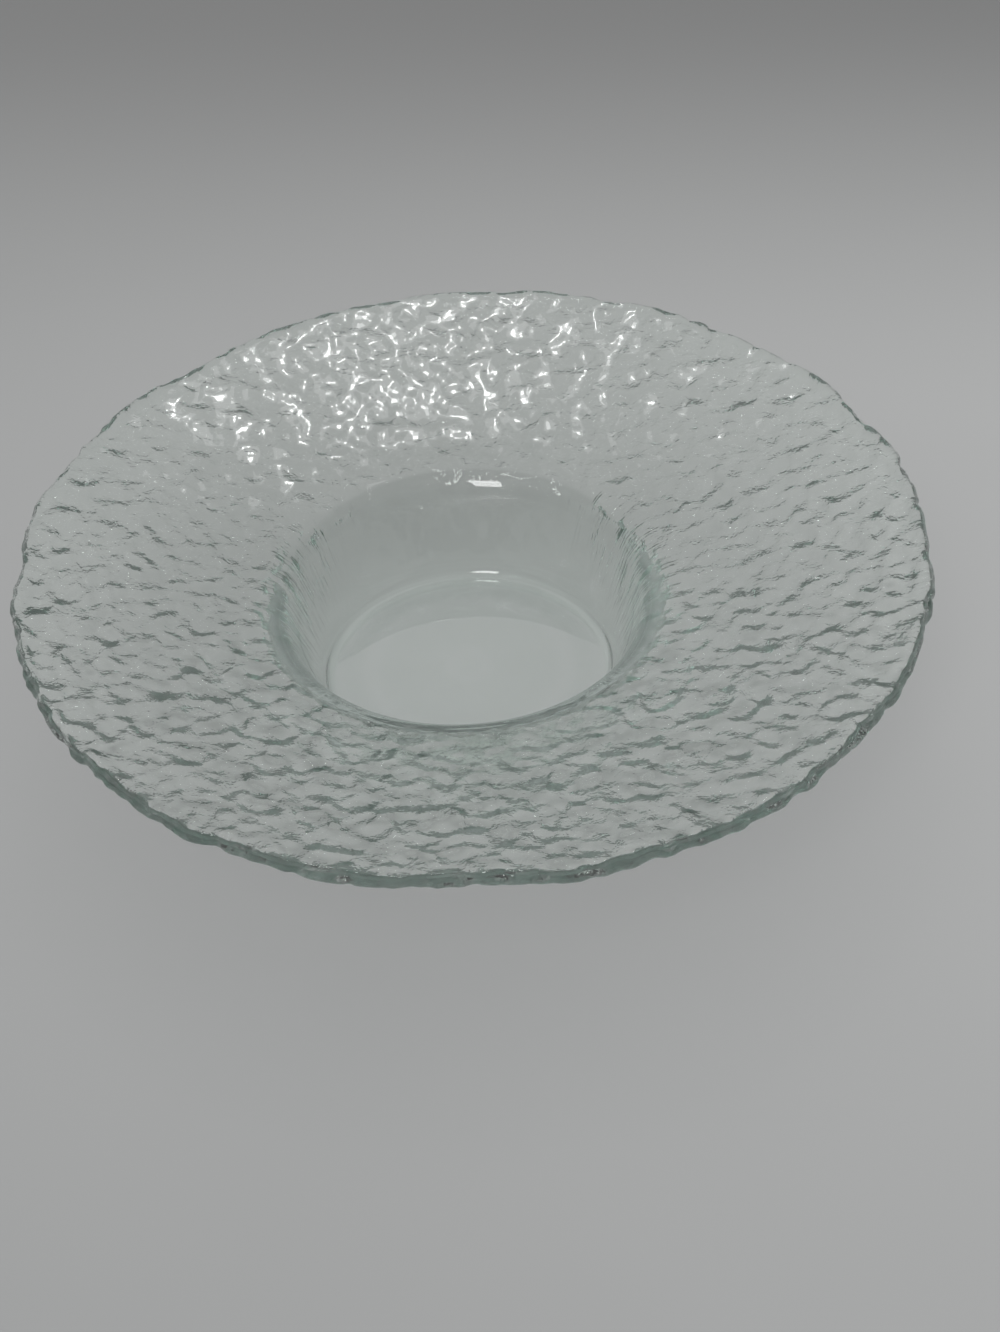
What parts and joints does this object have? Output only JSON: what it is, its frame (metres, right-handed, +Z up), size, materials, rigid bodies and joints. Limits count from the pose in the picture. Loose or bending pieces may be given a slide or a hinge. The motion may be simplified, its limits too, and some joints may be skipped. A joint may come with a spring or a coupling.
{
  "type": "glass pillar candle holder",
  "caption": "Clear glass pillar candle holder: a deep smooth round well with a thick base in a wide, gently sloping hammered flange with an irregular scalloped edge.",
  "frame": {"origin": "middle of the flat foot, on the table, under the axis of the candle well", "axes": "+Z up along the well's axis, out of its mouth; the picture looks along +Y and down, with +X to its right"},
  "size_m": [0.2543, 0.2544, 0.0567],
  "materials": {
    "clear_glass": "clear pressed glass with a faint green-grey cast, polished smooth in the well and hammered on the underside of the flange"
  },
  "bodies": {
    "root": {"glass_holder": "clear_glass"}
  },
  "joints": []
}
